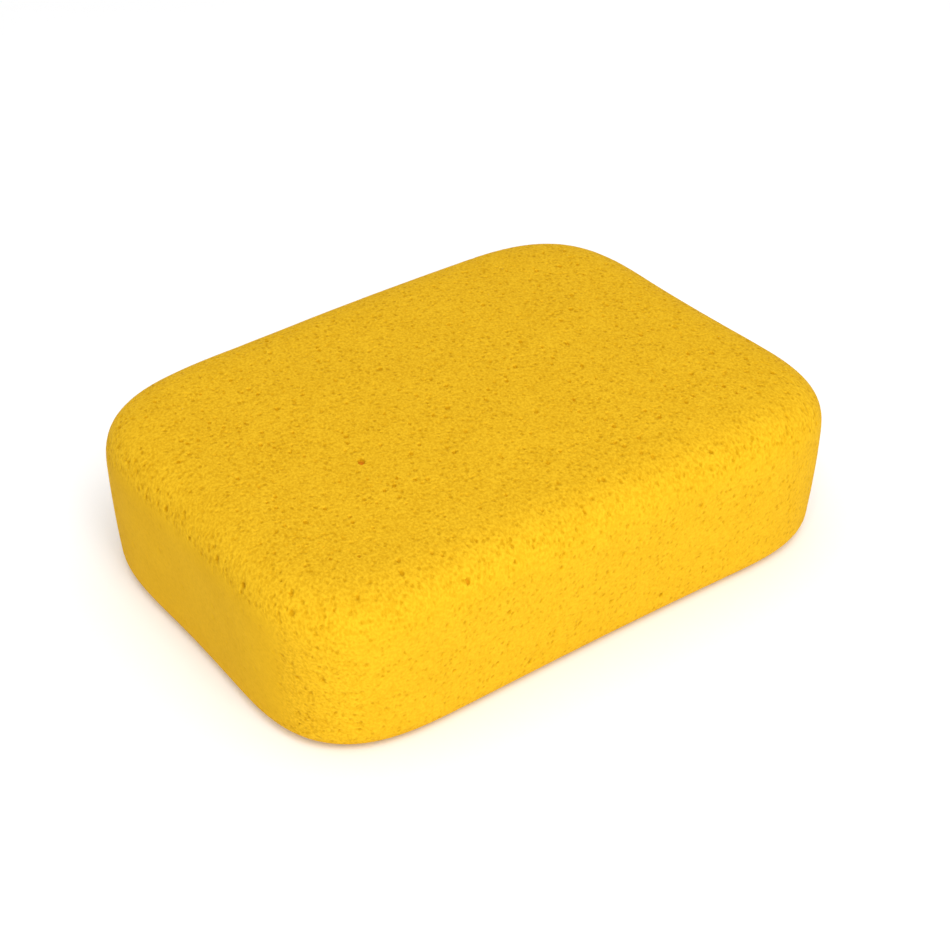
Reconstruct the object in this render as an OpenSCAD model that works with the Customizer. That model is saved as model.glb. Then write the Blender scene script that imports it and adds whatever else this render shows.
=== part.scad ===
// Tiling sponge: one block of open-cell foam that rests on its flat underside.
// The origin is on the resting face, below the middle of the block. +X runs along
// the length, +Y along the width and +Z up. Sizes are in millimetres.
//
// The block is a stack of level rings. Each ring is the plan outline drawn in by its
// own inset, so the insets give the two edge curves. The stack is then bent a little,
// because a soft block is never quite square, and fitted to the stated size. Last,
// the foot is cut off level, as the block's own weight presses it flat.

/* [Block] */
// Length, along X
block_length = 190.5; // [160:0.5:220]
// Width, along Y
block_width = 139.7; // [120:0.1:160]
// Height at the middle of the top
block_height = 50.8; // [40:0.2:65]

/* [Plan corners] */
// How far a corner's curve runs along each of its two sides
corner_reach = 48.5; // [40:0.5:58]
// The same for the one softer corner, at -X and +Y
soft_corner_reach = 57; // [40:0.5:58]
// Fullness of the corner curves: 2 is a circular arc, and more is squarer
corner_fullness = 3.1; // [2:0.1:4]

/* [Edges] */
// How far the top edge's curve reaches in over the top
top_edge_reach = 20.5; // [8:0.5:24]
// How far the top edge's curve drops down the sides
top_edge_drop = 15.5; // [8:0.5:20]
// Fullness of the top edge's curve: 2 is part of an ellipse, and more is squarer
top_edge_fullness = 3.1; // [2:0.1:4]
// Radius of the bottom edge
bottom_edge_radius = 6; // [2:0.5:10]
// How much of the rounded foot is pressed flat where the block rests
foot_press = 0.3; // [0.1:0.1:1]

/* [Soft shape] */
// Rise of the middle of the top above its rim
crown = 2; // [0:0.5:5]
// How far the foot of each side is drawn in
taper = 2.5; // [0:0.1:5]
// How far the sides swell out at half height
side_swell = 0.8; // [0:0.1:3]
// How far the block bends towards +Y
bow = 2.2; // [0:0.1:6]
// Where it bends most, as a share of the half length towards +X
bow_place = 0.3; // [0:0.05:0.8]
// How far each end is hollowed
end_hollow = 3.3; // [0:0.1:6]
// Where the ends are hollowed most, as a share of the half width towards +Y
end_hollow_place = 0.3; // [0:0.05:0.8]

/* [Hidden] */

foam_yellow = [0.96, 0.73, 0.14];

corner_steps = 12;
side_steps = [8, 4, 8, 4];
bottom_edge_steps = 4;
wall_steps = 4;
top_edge_steps = 9;
top_shares = [0.86, 0.7, 0.52, 0.34, 0.17];

half_length = block_length / 2;
half_width = block_width / 2;
rim_height = block_height - crown;
wall_height = rim_height - top_edge_drop - bottom_edge_radius;

// The four plan corners, anticlockwise from +X +Y
corner_signs = [[1, 1], [-1, 1], [-1, -1], [1, -1]];
corner_reaches = [corner_reach, soft_corner_reach, corner_reach, corner_reach];

// Point at an angle on a unit curve: fullness 2 is a circle, and more is squarer
function full_curve(angle, fullness) =
    let (size = pow(pow(cos(angle), fullness) + pow(sin(angle), fullness), 1 / fullness))
    [cos(angle) / size, sin(angle) / size];

function turned(point, angle) = [
    point[0] * cos(angle) - point[1] * sin(angle),
    point[0] * sin(angle) + point[1] * cos(angle)
];

function corner_centre(corner) = [
    corner_signs[corner][0] * (half_length - corner_reaches[corner]),
    corner_signs[corner][1] * (half_width - corner_reaches[corner])
];

function corner_point(corner, angle, inset) =
    corner_centre(corner)
    + (corner_reaches[corner] - inset) * turned(full_curve(angle, corner_fullness), 90 * corner);

function corner_curve(corner, inset) =
    [for (step = [0 : corner_steps]) corner_point(corner, 90 * step / corner_steps, inset)];

// Points between the end of one corner's curve and the start of the next
function side_line(corner, inset) =
    let (
        first = corner_point(corner, 90, inset),
        last = corner_point((corner + 1) % 4, 0, inset),
        steps = side_steps[corner]
    )
    [for (step = [1 : steps - 1]) first + (last - first) * step / steps];

function outline(inset) =
    [for (corner = [0 : 3]) each concat(corner_curve(corner, inset), side_line(corner, inset))];

// Inset of the side at a height, before its edge curves are added
function side_inset(height) =
    let (share = height / rim_height)
    taper * (1 - share) - side_swell * 4 * share * (1 - share);

// Each level is [inset, height], from just below the resting face up to the rim of the top
bottom_edge = [
    for (step = [0 : bottom_edge_steps])
        let (point = full_curve(90 - 90 * step / bottom_edge_steps, 2) * bottom_edge_radius)
        [bottom_edge_radius - point[0], bottom_edge_radius - point[1] - foot_press]
];
wall = [
    for (step = [1 : wall_steps - 1])
        [0, bottom_edge_radius + wall_height * step / wall_steps]
];
top_edge = [
    for (step = [0 : top_edge_steps])
        let (point = full_curve(90 * step / top_edge_steps, top_edge_fullness))
        [top_edge_reach * (1 - point[0]), rim_height - top_edge_drop * (1 - point[1])]
];
levels = concat(bottom_edge, wall, top_edge);

function side_ring(level) =
    [for (point = outline(level[0] + side_inset(level[1]))) [point[0], point[1], level[1]]];

// A ring on the top face: the rim drawn towards the middle
function top_ring(share) =
    [for (point = outline(top_edge_reach)) [point[0] * share, point[1] * share, rim_height]];

straight_rings = concat(
    [for (level = levels) side_ring(level)],
    [for (share = top_shares) top_ring(share)],
    [[[0, 0, rim_height]]]
);

// A smooth bump, 1 at its place and 0 at the far side
function bump(share, place) =
    let (distance = (share - place) / (1 + place))
    abs(distance) < 1 ? pow(cos(90 * distance), 2) : 0;

function crown_rise(across, along, height) =
    crown * max(1 - along * along, 0) * max(1 - across * across, 0) * pow(height / rim_height, 2);

// The bow, the hollow ends and the crown, applied to one point
function softened(point) =
    let (along = point[0] / half_length, across = point[1] / half_width)
    [
        point[0] - end_hollow * along * bump(across, end_hollow_place),
        point[1] + bow * bump(along, bow_place),
        point[2] + crown_rise(across, along, point[2])
    ];

soft_rings = [for (ring = straight_rings) [for (point = ring) softened(point)]];
soft_x = [for (ring = soft_rings) for (point = ring) point[0]];
soft_y = [for (ring = soft_rings) for (point = ring) point[1]];
low = [min(soft_x), min(soft_y), 0];
span = [max(soft_x), max(soft_y), 0] - low;

// Centres the soft shape and stretches it to the stated length and width
function fitted(point) = [
    (point[0] - low[0] - span[0] / 2) * block_length / span[0],
    (point[1] - low[1] - span[1] / 2) * block_width / span[1],
    point[2]
];

ring_size = len(soft_rings[0]);
ring_count = len(soft_rings) - 1;
tip = ring_size * ring_count;

points = [for (ring = soft_rings) for (point = ring) fitted(point)];

// Two triangles join each pair of neighbours on one ring to the pair above
skin_faces = [
    for (ring = [0 : ring_count - 2], here = [0 : ring_size - 1])
        let (
            next = (here + 1) % ring_size,
            below = ring * ring_size,
            above = below + ring_size
        )
        each [
            [below + here, above + here, below + next],
            [below + next, above + here, above + next]
        ]
];
foot_face = [[for (here = [0 : ring_size - 1]) here]];
tip_faces = [
    for (here = [0 : ring_size - 1])
        [tip - ring_size + here, tip, tip - ring_size + (here + 1) % ring_size]
];

module soft_skin() {
    polyhedron(points = points, faces = concat(foot_face, skin_faces, tip_faces));
}

module below_the_resting_face() {
    translate([-block_length, -block_width, -block_height])
        cube([2 * block_length, 2 * block_width, block_height]);
}

module sponge_block() {
    color(foam_yellow)
        difference() {
            soft_skin();
            below_the_resting_face();
        }
}

sponge_block();
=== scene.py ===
"""A tiling sponge: one block of open-cell foam, with its pores in the mesh, on a pale floor.

The block has the outline, edges and soft bends of its CAD solid, so those sizes are the
same here as there, and its length, width and height come from that solid's box in
model.glb. Lengths are in millimetres up to the last step of the mesh, and in metres in
the scene.
"""

import itertools
import math

import bpy
import numpy as np
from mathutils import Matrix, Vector


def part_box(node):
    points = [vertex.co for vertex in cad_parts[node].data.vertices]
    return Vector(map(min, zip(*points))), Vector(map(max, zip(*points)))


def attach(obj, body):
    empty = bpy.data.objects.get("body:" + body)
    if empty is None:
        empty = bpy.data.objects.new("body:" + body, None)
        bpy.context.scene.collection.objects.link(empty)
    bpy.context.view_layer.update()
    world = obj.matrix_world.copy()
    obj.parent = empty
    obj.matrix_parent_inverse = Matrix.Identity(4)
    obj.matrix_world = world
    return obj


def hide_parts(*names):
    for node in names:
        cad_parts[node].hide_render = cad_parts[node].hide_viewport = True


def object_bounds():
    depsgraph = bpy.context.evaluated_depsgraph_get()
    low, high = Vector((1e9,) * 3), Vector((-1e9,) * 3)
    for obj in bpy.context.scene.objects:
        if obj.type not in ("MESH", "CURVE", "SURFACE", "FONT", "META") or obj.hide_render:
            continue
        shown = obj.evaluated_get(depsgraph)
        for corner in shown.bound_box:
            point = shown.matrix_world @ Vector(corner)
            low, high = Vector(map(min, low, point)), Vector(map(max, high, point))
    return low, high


MM = 0.001

# ---------------------------------------------------------------- driving values

# The block, as in its CAD solid: the plan corners run anticlockwise from -X -Y
CORNER_SIGNS = ((-1, -1), (1, -1), (1, 1), (-1, 1))
CORNER_REACHES = (48.5, 48.5, 48.5, 57.0)
CORNER_FULLNESS = 3.1
TOP_EDGE_REACH = 20.5
TOP_EDGE_DROP = 15.5
TOP_EDGE_FULLNESS = 3.1
BOTTOM_EDGE_RADIUS = 6.0
BOTTOM_EDGE_FULLNESS = 2
FOOT_PRESS = 0.3
CROWN = 2.0
TAPER = 2.5
SIDE_SWELL = 0.8
BOW = 2.2
BOW_PLACE = 0.3
END_HOLLOW = 3.3
END_HOLLOW_PLACE = 0.3

# The mesh: how many quads run along and across the block, how high they are up its
# sides, and how many steps a curve is measured with before its quads are laid out
QUADS_ALONG = 440
QUADS_ACROSS = 310
QUAD_SIZE = 0.42
CURVE_STEPS = 400

# The map of the skin: the gap between its parts, and its whole width
MAP_GAP = 2
MAP_SIZE = 330

# The foam rises as it sets, which draws its cells out along one way: the azimuth and
# elevation of that way, and by how much
CELL_WAY = (160, 35)
CELL_STRETCH = 1.45

# The open cells that the mesh holds, in three sizes: their spacing, their least and
# greatest radius as shares of it, the share of places that hold one, how deep they open
# at most, and the seed of their places. Past a cell's edge its depth sets in smoothly,
# over LIP_SHARE of the radius squared
FINE_CELLS = {"spacing": 1.6, "radii": (0.24, 0.38), "share": 0.5, "deepest": 0.22, "seed": 21}
PORES = {"spacing": 3.4, "radii": (0.14, 0.24), "share": 0.7, "deepest": 0.5, "seed": 22}
RARE_PORES = {"spacing": 13, "radii": (0.05, 0.07), "share": 0.4, "deepest": 0.8, "seed": 23}
LIP_SHARE = 0.3

# The one large pore, on the top: its place in plan, its radius, how far it is drawn out
# along CELL_WAY, and its depth
LARGE_PORE = (-42, -12)
LARGE_PORE_RADIUS = 1.05
LARGE_PORE_STRETCH = 2.2
LARGE_PORE_DEPTH = 1.6

# The soft unevenness of the skin: the height, size and seed of its broad and small lumps
LUMPS = ((0.12, 26, 11), (0.04, 7, 12))

# Patches where the cells open more or less: by what share, their size and their seed
OPEN_PATCH_SHARE = 0.25
OPEN_PATCH_SIZE = 14
OPEN_PATCH_SEED = 13

# The grain's relief and its painted shade are fainter on the two ends, and a little fainter
# on the long sides: painted shade that follows how light falls, softer on the end, which lies
# in shade, and on the near side, which is lit head-on. By what share, and how squarely a
# place faces that way where this sets in and where it is full
END_FAINTNESS = 0.7
END_FACING = (0.93, 0.985)
SIDE_FAINTNESS = 0.3
SIDE_FACING = (0.8, 0.97)

# The grain of the material: the sizes of its pits, of the speckle between them and of its
# faint patches, and its depth
PIT_SPACING = 1.5
SPECKLE_SIZE = 0.7
SHADE_PATCH_SIZE = 9
GRAIN_DEPTH = 0.17

# How far each darkens the foam, where 1 is all the way to the cells' shaded amber. The pits'
# and the pores' darkening is painted shade, the speckle's is partly the foam's own mottle and
# partly painted shade of its finest cells, and the patches are its own uneven tone. MEAN_SHADE
# is the mean of the speckle's
SPECKLE_SHADE = 0.56
MEAN_SHADE = 0.28
PIT_SHADE = 0.5
PORE_SHADE = 0.6
PATCH_SHADE = 0.12

# Where each starts and where it is full: noise by its level, a pit by the distance from
# its middle in spacings, the pits' painted shade by the strength of the grain's relief and
# shade, and the pores' by depth
NOISE_LEVELS = (0.3, 0.7)
PIT_EDGE = (0.5, 0.15)
PIT_SHADE_RISE = (0.1, 0.7)
PORE_SHADE_DEPTHS = (0.05, 0.5)
DEEP_PORE_SHADE_DEPTHS = (0.45, 1.35)

FOAM_YELLOW = (0.812, 0.480, 0.0147, 1)
# The darker amber that the painted shade in the cells goes toward
SHADED_CELL_AMBER = (0.56, 0.28, 0.0005, 1)
# Painted shade deep in the pores: a redder, darker amber, standing in for the light bounced
# inside them
SHADED_PORE_AMBER = (0.60, 0.20, 0.006, 1)

# The finish of the foam and the floor
MATT = {"Roughness": 0.9, "Specular IOR Level": 0.1}

# The stage, in metres and degrees. A way is an azimuth and an elevation, as for toward()
FLOOR_REACH = 8
FLOOR_SIDES = 96
FLOOR_GREY = (0.88, 0.88, 0.88, 1)
FLOOR_GLOW = 0.11
WHITE = (1, 1, 1, 1)

LIGHT_DISTANCE = 1.6
FRONT_LIGHT = {"way": (-11, 9), "size": 0.45, "power": 8.2}
HIGH_LIGHT = {"way": (-25, 56), "size": 0.9, "power": 11.4}

# The sky's strength at the horizon, just above it and overhead, and how high the two
# changes between them start and end, as the sine of the elevation
HORIZON_STRENGTH = 1
LOW_SKY_STRENGTH = 0.22
HIGH_SKY_STRENGTH = 1.15
LOW_SKY_RISE = (0.13, 0.25)
HIGH_SKY_RISE = (0.4, 0.9)

# The camera, and how far right of the block's middle and below it the camera aims
CAMERA_WAY = (-36.66, 34.67)
CAMERA_DISTANCE = 0.713
CAMERA_LENS = 92.8
AIM_RIGHT = 0.0047
AIM_DOWN = 0.0032


def toward(azimuth, elevation):
    """The way to a place round the object, in degrees: azimuth 0 is in front, at -Y."""
    azimuth, elevation = math.radians(azimuth), math.radians(elevation)
    level = math.cos(elevation)
    return Vector((
        math.sin(azimuth) * level, -math.cos(azimuth) * level, math.sin(elevation)
    ))


# ---------------------------------------------------------------- the block's shape


def full_curve(angles, fullness):
    """Points on a unit curve: fullness 2 is a circle, and more is squarer."""
    across, up = np.cos(angles), np.sin(angles)
    size = (np.abs(across) ** fullness + np.abs(up) ** fullness) ** (1 / fullness)
    return np.stack([across, up], -1) / size[:, None]


def quarter_turned(points, turns):
    """Points turned anticlockwise by a number of quarter turns."""
    for _ in range(turns):
        points = np.stack([-points[:, 1], points[:, 0]], -1)
    return points


def plan_outline(half_length, half_width):
    """Points round the plan, and the way out from each: a ring with an inset is the
    points less the inset times the ways out. They start in the middle of the corner at
    -X -Y and run anticlockwise, evenly spaced between the middles of the corners."""
    points, ways_out = [], []
    for corner, (signs, reach) in enumerate(zip(CORNER_SIGNS, CORNER_REACHES)):
        angles = np.linspace(0, math.pi / 2, CURVE_STEPS + 1)
        way_out = quarter_turned(full_curve(angles, CORNER_FULLNESS), corner + 2)
        centre = np.array(signs) * (half_length - reach, half_width - reach)
        points.append(centre + reach * way_out)
        ways_out.append(way_out)
    points, ways_out = np.concatenate(points), np.concatenate(ways_out)
    steps = np.linalg.norm(np.roll(points, -1, 0) - points, axis=1)
    run, total = np.cumsum(steps) - steps, steps.sum()
    middles = [run[corner * (CURVE_STEPS + 1) + CURVE_STEPS // 2] for corner in range(4)]
    middles.append(middles[0] + total)
    counts = (QUADS_ALONG, QUADS_ACROSS) * 2
    places = np.concatenate([
        np.linspace(middles[side], middles[side + 1], counts[side], endpoint=False)
        for side in range(4)
    ])

    def at_places(values):
        columns = [np.interp(places, run, column, period=total) for column in values.T]
        return np.stack(columns, -1)

    return at_places(points), at_places(ways_out)


def run_along(inset, height):
    """How far along the profile each of its points lies."""
    return np.append(0, np.cumsum(np.hypot(np.diff(inset), np.diff(height))))


def side_profile(rim_height):
    """Insets and heights up the side, evenly spaced from the foot to the rim of the top.
    The two edge curves come first, then the taper and the swell."""
    angles = np.linspace(0, math.pi / 2, CURVE_STEPS)
    foot = BOTTOM_EDGE_RADIUS * (1 - full_curve(angles[::-1], BOTTOM_EDGE_FULLNESS))
    edge = full_curve(angles, TOP_EDGE_FULLNESS)
    inset = np.concatenate([foot[:, 0], TOP_EDGE_REACH * (1 - edge[:, 0])])
    height = np.concatenate([
        foot[:, 1] - FOOT_PRESS,
        rim_height - TOP_EDGE_DROP * (1 - edge[:, 1]),
    ])
    run = run_along(inset, height)
    places = np.linspace(np.interp(0, height, run), run[-1], CURVE_STEPS * 4)
    inset, height = np.interp(places, run, inset), np.interp(places, run, height)
    share = height / rim_height
    inset = inset + TAPER * (1 - share) - SIDE_SWELL * 4 * share * (1 - share)
    run = run_along(inset, height)
    places = np.linspace(0, run[-1], round(run[-1] / QUAD_SIZE) + 1)
    return np.interp(places, run, inset), np.interp(places, run, height)


def four_sides(ring):
    """A ring's near, right, far and left sides, each from -X to +X or from -Y to +Y."""
    ends = np.cumsum((0, QUADS_ALONG, QUADS_ACROSS, QUADS_ALONG, QUADS_ACROSS))
    loop = np.concatenate([ring, ring[:1]])
    near, right, far, left = (loop[a : b + 1] for a, b in zip(ends, ends[1:]))
    return near, right, far[::-1], left[::-1]


def filled(ring):
    """A level face inside a ring: a grid of points that blends its four sides."""
    near, right, far, left = four_sides(ring)
    u = np.linspace(0, 1, QUADS_ALONG + 1)[None, :, None]
    v = np.linspace(0, 1, QUADS_ACROSS + 1)[:, None, None]
    sides = (1 - v) * near[None] + v * far[None] + (1 - u) * left[:, None] + u * right[:, None]
    corners = (1 - u) * (1 - v) * near[0] + u * (1 - v) * near[-1]
    corners = corners + (1 - u) * v * far[0] + u * v * far[-1]
    return sides - corners


def bump(share, place):
    """1 at a place along the block, and smoothly 0 at the far side."""
    distance = np.clip((share - place) / (1 + place), -1, 1)
    return np.cos(math.pi / 2 * distance) ** 2


def softened(points, half_length, half_width, rim_height):
    """The bow, the hollow ends and the crown."""
    x, y, z = points.T
    along, across = x / half_length, y / half_width
    room = np.clip(1 - along**2, 0, 1) * np.clip(1 - across**2, 0, 1)
    return np.stack([
        x - END_HOLLOW * along * bump(across, END_HOLLOW_PLACE),
        y + BOW * bump(along, BOW_PLACE),
        z + CROWN * room * (z / rim_height) ** 2,
    ], -1)


def fitted(points, low, high):
    """Points moved and stretched so that their box runs from low to high."""
    least, most = points.min(0), points.max(0)
    return low + (points - least) * (high - low) / (most - least)


# ---------------------------------------------------------------- the mesh


def grid_quads(grid):
    """What a grid holds at the four corners of each of its quads."""
    return np.stack([grid[:-1, :-1], grid[:-1, 1:], grid[1:, 1:], grid[1:, :-1]], 2)


def grid_uv(rows, columns, corner, size):
    """A grid's map coordinates, where it fills a box on the map."""
    v, u = np.meshgrid(np.linspace(0, 1, rows), np.linspace(0, 1, columns), indexing="ij")
    return np.stack([corner[0] + size[0] * u, corner[1] + size[1] * v], -1)


def face_numbers(rim, first):
    """The vertex numbers of a filled face: its rim's, and inside it new ones from first."""
    numbers = np.empty((QUADS_ACROSS + 1, QUADS_ALONG + 1), int)
    inside = numbers[1:-1, 1:-1]
    inside[:] = first + np.arange(inside.size).reshape(inside.shape)
    numbers[0], numbers[:, -1], numbers[-1], numbers[:, 0] = four_sides(rim)
    return numbers


def band_grids(numbers, row_size):
    """The side's band, from its vertex numbers, as two grids of numbers and of map
    coordinates: each half of the way round is a row on the map."""
    closed = np.concatenate([numbers, numbers[:, :1]], 1)
    half = numbers.shape[1] // 2
    grids = []
    for row, columns in enumerate((slice(0, half + 1), slice(half, None))):
        corner = (MAP_GAP, MAP_GAP + row * (row_size[1] + MAP_GAP))
        part = closed[:, columns]
        grids.append((part, grid_uv(*part.shape, corner, row_size)))
    return grids


def block_skin(low, high):
    """The block's smooth skin: its points, its quads, and the map coordinates of each
    quad's corners. A band runs round the side, and a grid fills the foot and the top."""
    length, width, height = high - low
    half_length, half_width, rim_height = length / 2, width / 2, height - CROWN
    outline, way_out = plan_outline(half_length, half_width)
    insets, heights = side_profile(rim_height)
    rings = outline[None] - insets[:, None, None] * way_out[None]
    levels = np.broadcast_to(heights[:, None, None], (*rings.shape[:2], 1))
    band = np.concatenate([rings, levels], -1)
    points = [band.reshape(-1, 3)]
    count = len(points[0])
    band_numbers = np.arange(count).reshape(band.shape[:2])

    # The foot and the top lie side by side on the map, past the rows of the band.
    # Lengths on the map are in millimetres until the end
    perimeter = np.linalg.norm(np.diff(outline, axis=0), axis=1).sum()
    row_size = (perimeter / 2, (len(heights) - 1) * QUAD_SIZE)
    grids = band_grids(band_numbers, row_size)
    corner = [MAP_GAP, 2 * (row_size[1] + MAP_GAP) + MAP_GAP]
    for ring, faces_down in ((0, True), (-1, False)):
        face = filled(band[ring])
        numbers = face_numbers(band_numbers[ring], count)
        inside = face[1:-1, 1:-1].reshape(-1, 3)
        points.append(inside)
        count += len(inside)
        size = np.ptp(face.reshape(-1, 3), axis=0)[:2]
        uv = grid_uv(*numbers.shape, corner, size)
        corner[0] += size[0] + MAP_GAP
        if faces_down:
            numbers, uv = numbers[:, ::-1], uv[:, ::-1]
        grids.append((numbers, uv))

    quads = np.concatenate([grid_quads(numbers).reshape(-1, 4) for numbers, _ in grids])
    maps = np.concatenate([grid_quads(uv).reshape(-1, 4, 2) for _, uv in grids]) / MAP_SIZE
    skin = softened(np.concatenate(points), half_length, half_width, rim_height)
    return fitted(skin, low, high), quads, maps


def set_points(mesh, points):
    """Moves a mesh's vertices to points in millimetres."""
    mesh.vertices.foreach_set("co", (points * MM).astype(np.float32).ravel())


def mesh_of(name, points, quads, maps):
    """A smooth mesh of quads, with its map coordinates."""
    mesh = bpy.data.meshes.new(name)
    mesh.vertices.add(len(points))
    set_points(mesh, points)
    mesh.loops.add(quads.size)
    mesh.loops.foreach_set("vertex_index", quads.astype(np.int32).ravel())
    mesh.polygons.add(len(quads))
    mesh.polygons.foreach_set("loop_start", np.arange(0, quads.size, 4, dtype=np.int32))
    mesh.update(calc_edges=True)
    mesh.shade_smooth()
    layer = mesh.uv_layers.new(name="OFBake")
    layer.uv.foreach_set("vector", maps.astype(np.float32).ravel())
    return mesh


def normals_of(mesh):
    """The way out of a mesh at each vertex."""
    normals = np.empty(len(mesh.vertices) * 3, np.float32)
    mesh.vertex_normals.foreach_get("vector", normals)
    return normals.reshape(-1, 3).astype(float)


# ---------------------------------------------------------------- the foam


def smooth_step(low, high, value):
    """0 up to low and 1 from high on, with a smooth rise between them."""
    share = np.clip((value - low) / (high - low), 0, 1)
    return share * share * (3 - 2 * share)


def soft_noise(points, size, seed):
    """Smooth noise from -1 to 1, with lumps of a size."""
    place = points / size
    low = np.floor(place.min(0)).astype(int)
    shape = np.floor(place.max(0)).astype(int) - low + 2
    lattice = np.random.default_rng(seed).uniform(-1, 1, shape)
    home = np.floor(place).astype(int)
    share = place - home
    share = share * share * (3 - 2 * share)
    home = home - low
    total = np.zeros(len(points))
    for corner in itertools.product((0, 1), repeat=3):
        weight = np.prod(np.where(corner, share, 1 - share), axis=1)
        total += weight * lattice[tuple((home + corner).T)]
    return total


def cell_squeeze(stretch):
    """The matrix that squeezes cells, drawn out along CELL_WAY by a stretch, round."""
    way = np.array(toward(*CELL_WAY))
    return np.eye(3) - (1 - 1 / stretch) * np.outer(way, way)


def open_cells(points, normals, spacing, radii, share, deepest, seed):
    """How deep the surface falls into the round cells that it cuts open. The cells lie
    at random places in the foam, a spacing apart, with radii as shares of the spacing."""
    squeeze = cell_squeeze(CELL_STRETCH)
    place, way = points @ squeeze / spacing, normals @ squeeze
    low = np.floor(place.min(0)).astype(int) - 1
    shape = tuple(np.floor(place.max(0)).astype(int) - low + 2)
    random = np.random.default_rng(seed)
    centres = random.random((*shape, 3))
    radius = radii[0] + (radii[1] - radii[0]) * random.random(shape) ** 2
    radius = np.where(random.random(shape) < share, radius, 0)
    home = np.floor(place).astype(int)
    steepness = (way**2).sum(1)
    fall = np.zeros(len(points))
    for offset in itertools.product((-1, 0, 1), repeat=3):
        cell = home + offset
        index = tuple((cell - low).T)
        away = place - cell - centres[index]
        size = radius[index] ** 2
        room = size - (away**2).sum(1)
        inside = np.flatnonzero(room > 0)
        along = (away[inside] * way[inside]).sum(1)
        reach = along**2 + steepness[inside] * room[inside]
        depth = (along + np.sqrt(reach)) / steepness[inside]
        depth *= smooth_step(0, LIP_SHARE, room[inside] / size[inside])
        fall[inside] = np.maximum(fall[inside], depth)
    return np.minimum(fall * spacing, deepest)


def large_pore(points):
    """How deep the surface falls into the one large pore on the top."""
    away = points - (*LARGE_PORE, points[:, 2].max())
    away = away @ cell_squeeze(LARGE_PORE_STRETCH) / LARGE_PORE_RADIUS
    return LARGE_PORE_DEPTH * np.sqrt(np.clip(1 - (away**2).sum(1), 0, 1))


def foam_surface(points, normals):
    """The points with the foam's cells opened, and what the material reads at each:
    how deep it lies in a pore, which sets the painted shade there, and how strong the grain's
    relief and painted shade are."""
    # Painted shade: the grain's relief and painted shade are fainter on the ends and long
    # sides, as light falls there
    relief_and_shade = 1 - END_FAINTNESS * smooth_step(*END_FACING, np.abs(normals[:, 0]))
    relief_and_shade = relief_and_shade - SIDE_FAINTNESS * smooth_step(*SIDE_FACING, np.abs(normals[:, 1]))
    lumps = sum(height * soft_noise(points, size, seed) for height, size, seed in LUMPS)
    # The lumps fade out at the foot, which is pressed flat
    free = smooth_step(0, BOTTOM_EDGE_RADIUS, points[:, 2])
    patch = 1 + OPEN_PATCH_SHARE * soft_noise(points, OPEN_PATCH_SIZE, OPEN_PATCH_SEED)
    fine = open_cells(points, normals, **FINE_CELLS)
    pores = open_cells(points, normals, **PORES)
    rare = np.maximum(open_cells(points, normals, **RARE_PORES), large_pore(points))
    depth = np.maximum(np.maximum(fine, pores) * relief_and_shade * patch, rare)
    moved = points + normals * (lumps * free - depth)[:, None]
    return moved, {"pore": depth, "relief_and_shade": relief_and_shade}


def foam_block():
    """The sponge's block, made round its CAD solid's box."""
    low, high = (np.array(corner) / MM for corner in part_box("sponge_block"))
    points, quads, maps = block_skin(low, high)
    mesh = mesh_of("foam_block", points, quads, maps)
    points, grain = foam_surface(points, normals_of(mesh))
    set_points(mesh, points)
    for name, values in grain.items():
        attribute = mesh.attributes.new(name, "FLOAT", "POINT")
        attribute.data.foreach_set("value", values.astype(np.float32))
    mesh.update()
    block = bpy.data.objects.new("foam_block", mesh)
    bpy.context.scene.collection.objects.link(block)
    return block


# ---------------------------------------------------------------- the material


class Nodes:
    """The nodes of a material or world, made and joined in short calls."""

    def __init__(self, owner):
        owner.use_nodes = True
        self.tree = owner.node_tree

    def put(self, node, inputs):
        """Sets a node's inputs, or joins them to other nodes' outputs."""
        for name, value in dict(inputs).items():
            if isinstance(value, bpy.types.NodeSocket):
                self.tree.links.new(value, node.inputs[name])
            else:
                node.inputs[name].default_value = value

    def put_shader(self, kind, inputs):
        """The same for the shader that the tree starts with."""
        self.put(self.tree.nodes[kind], inputs)

    def add(self, kind, inputs=(), **properties):
        """A new node, with its properties and its inputs."""
        node = self.tree.nodes.new("ShaderNode" + kind)
        for name, value in properties.items():
            setattr(node, name, value)
        self.put(node, inputs)
        return node

    def maths(self, operation, first, second):
        """The outcome of an operation on two values."""
        return self.add("Math", {0: first, 1: second}, operation=operation).outputs[0]

    def spread(self, value, low, high, to_low=0.0, to_high=1.0):
        """A value spread smoothly from one range to another."""
        inputs = {"Value": value, "From Min": low, "From Max": high}
        inputs.update({"To Min": to_low, "To Max": to_high})
        return self.add("MapRange", inputs, interpolation_type="SMOOTHSTEP").outputs["Result"]

    def mixed(self, factor, first, second):
        """A colour between two others, by a factor. The node's inputs 6 and 7 and its
        output 2 are those for colours."""
        node = self.add("Mix", {0: factor, 6: first, 7: second}, data_type="RGBA")
        return node.outputs[2]

    def attribute(self, name):
        """A value that the mesh holds at each point."""
        return self.add("Attribute", attribute_name=name).outputs["Fac"]

    def noise(self, place, size, **inputs):
        """Smooth noise from 0 to 1, with lumps of a size."""
        named = {name.title(): value for name, value in inputs.items()}
        node = self.add("TexNoise", {"Vector": place, "Scale": 1 / size, **named})
        return node.outputs["Fac"]


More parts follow.
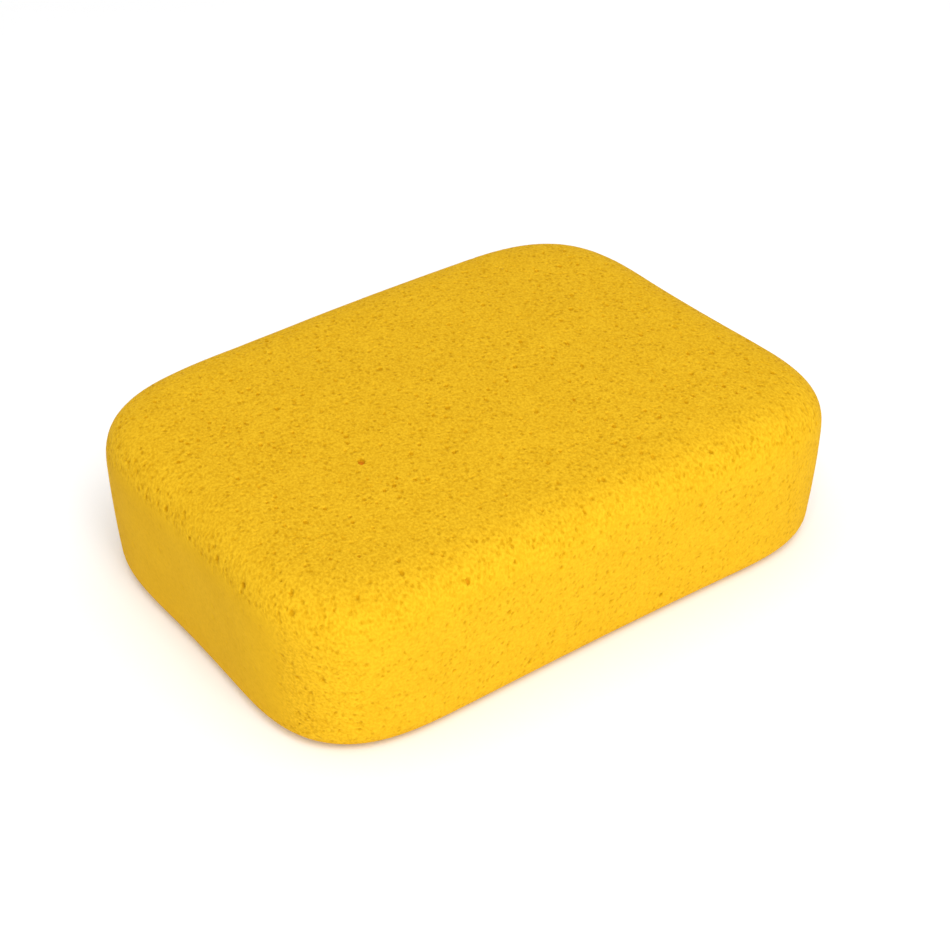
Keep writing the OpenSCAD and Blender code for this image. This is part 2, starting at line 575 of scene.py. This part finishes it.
def foam_material():
    """Yellow foam: painted shade in fine pits and in the speckle between them, a little deeper
    in colour than the walls between them, the speckle partly the foam's own mottle, faint
    patches of its own tone, and painted shade of a deeper amber in the pores."""
    material = bpy.data.materials.new("yellow_foam")
    nodes = Nodes(material)
    pore, relief_and_shade = nodes.attribute("pore"), nodes.attribute("relief_and_shade")

    # Places in millimetres, squeezed along the way that the cells are drawn out
    lean = toward(*CELL_WAY).to_track_quat("Z", "Y").to_euler()
    inputs = {
        "Vector": nodes.add("TexCoord").outputs["Object"],
        "Rotation": lean,
        "Scale": (MM, MM, MM * CELL_STRETCH),
    }
    place = nodes.add("Mapping", inputs, vector_type="TEXTURE").outputs[0]

    # Painted shade in round pits of random depth, fainter on the ends, and a speckle between
    # them, partly the foam's own mottle and partly painted shade
    cells = nodes.add("TexVoronoi", {"Vector": place, "Scale": 1 / PIT_SPACING})
    pits = nodes.spread(cells.outputs["Distance"], *PIT_EDGE)
    strength = nodes.add("SeparateColor", {"Color": cells.outputs["Color"]}).outputs[0]
    pits = nodes.maths("MULTIPLY", pits, strength)
    pits = nodes.maths("MULTIPLY", pits, nodes.spread(relief_and_shade, *PIT_SHADE_RISE))
    speckle = nodes.noise(place, SPECKLE_SIZE, detail=2.0)
    patches = nodes.noise(place, SHADE_PATCH_SIZE, detail=3.0, roughness=0.6)

    # The speckle's painted shade varies less where the grain's relief and shade are fainter,
    # about the same mean
    shade = nodes.spread(speckle, *NOISE_LEVELS, SPECKLE_SHADE, 0)
    shade = nodes.maths("MULTIPLY", nodes.maths("SUBTRACT", shade, MEAN_SHADE), relief_and_shade)
    shade = nodes.maths("ADD", shade, MEAN_SHADE)
    shade = nodes.maths("ADD", shade, nodes.maths("MULTIPLY", pits, PIT_SHADE))
    # Painted shade: the deeper a place lies in a pore, the darker it is painted
    deep = nodes.spread(pore, *PORE_SHADE_DEPTHS, 0, PORE_SHADE)
    shade = nodes.maths("ADD", shade, deep)
    faint = nodes.spread(patches, *NOISE_LEVELS, PATCH_SHADE, 0)
    shade = nodes.maths("ADD", shade, faint)
    colour = nodes.mixed(shade, FOAM_YELLOW, SHADED_CELL_AMBER)
    # Painted shade deep in the pores: a redder amber, for the light bounced inside them
    colour = nodes.mixed(nodes.spread(pore, *DEEP_PORE_SHADE_DEPTHS), colour, SHADED_PORE_AMBER)

    height = nodes.maths("MULTIPLY", nodes.maths("SUBTRACT", speckle, pits), relief_and_shade)
    relief = nodes.add("Bump", {"Height": height, "Distance": GRAIN_DEPTH * MM})
    look = {"Base Color": colour, "Normal": relief.outputs["Normal"], **MATT}
    nodes.put_shader("Principled BSDF", look)
    return material


# ---------------------------------------------------------------- the stage


def pale_floor_material():
    """A matt pale grey with a slight glow, which keeps the floor near white."""
    material = bpy.data.materials.new("pale_floor")
    glow = {"Emission Color": WHITE, "Emission Strength": FLOOR_GLOW}
    Nodes(material).put_shader("Principled BSDF", {"Base Color": FLOOR_GREY, **glow, **MATT})
    return material


def make_floor():
    """A plain pale floor, out to where the sky is as pale."""
    mesh = bpy.data.meshes.new("floor")
    turns = [2 * math.pi * side / FLOOR_SIDES for side in range(FLOOR_SIDES)]
    points = [(FLOOR_REACH * math.cos(turn), FLOOR_REACH * math.sin(turn), 0) for turn in turns]
    mesh.from_pydata(points, [], [range(FLOOR_SIDES)])
    mesh.materials.append(pale_floor_material())
    floor = bpy.data.objects.new("floor", mesh)
    bpy.context.scene.collection.objects.link(floor)


def area_light(name, target, way, size, power):
    """A soft round light, LIGHT_DISTANCE away in a way given as for toward()."""
    lamp = bpy.data.lights.new(name, "AREA")
    lamp.shape = "DISK"
    lamp.size = size
    lamp.energy = power
    light = bpy.data.objects.new(name, lamp)
    light.location = target + LIGHT_DISTANCE * toward(*way)
    light.rotation_euler = toward(*way).to_track_quat("Z", "Y").to_euler()
    light.visible_camera = False
    bpy.context.scene.collection.objects.link(light)


def soft_sky():
    """White light from all round: pale at the horizon, weakest just above it, and
    strongest from straight above."""
    world = bpy.data.worlds.new("soft_sky")
    bpy.context.scene.world = world
    nodes = Nodes(world)
    direction = nodes.add("TexCoord").outputs["Generated"]
    rise = nodes.add("SeparateXYZ", {"Vector": direction}).outputs["Z"]
    low = nodes.spread(rise, *LOW_SKY_RISE, HORIZON_STRENGTH, LOW_SKY_STRENGTH)
    high = nodes.spread(rise, *HIGH_SKY_RISE, 0, HIGH_SKY_STRENGTH - LOW_SKY_STRENGTH)
    strength = nodes.maths("ADD", low, high)
    nodes.put_shader("Background", {"Color": WHITE, "Strength": strength})


def make_camera(centre):
    """The camera stands at the front left, and looks down at the block."""
    back = toward(*CAMERA_WAY)
    right = Vector((-back.y, back.x, 0)).normalized()
    aim = centre + right * AIM_RIGHT - back.cross(right) * AIM_DOWN
    camera = bpy.data.objects.new("camera", bpy.data.cameras.new("camera"))
    camera.data.sensor_width = 36
    camera.data.lens = CAMERA_LENS
    camera.data.clip_start = 0.05
    camera.data.clip_end = 20
    camera.location = aim + back * CAMERA_DISTANCE
    camera.rotation_euler = back.to_track_quat("Z", "Y").to_euler()
    bpy.context.scene.collection.objects.link(camera)
    bpy.context.scene.camera = camera


# ---------------------------------------------------------------- the scene


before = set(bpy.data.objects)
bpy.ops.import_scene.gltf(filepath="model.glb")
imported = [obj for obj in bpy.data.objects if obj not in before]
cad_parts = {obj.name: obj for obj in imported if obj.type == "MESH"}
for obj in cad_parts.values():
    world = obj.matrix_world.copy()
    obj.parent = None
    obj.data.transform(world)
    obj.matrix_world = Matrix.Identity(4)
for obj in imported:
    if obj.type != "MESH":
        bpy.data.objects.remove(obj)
cad_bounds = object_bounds()
lowest, highest = cad_bounds
middle = (lowest + highest) / 2

block = foam_block()
block.data.materials.append(foam_material())
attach(block, "root")
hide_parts("sponge_block")

make_floor()
area_light("front_light", middle, **FRONT_LIGHT)
area_light("high_light", middle, **HIGH_LIGHT)
soft_sky()
make_camera(middle)
bpy.context.scene.view_settings.view_transform = "Standard"
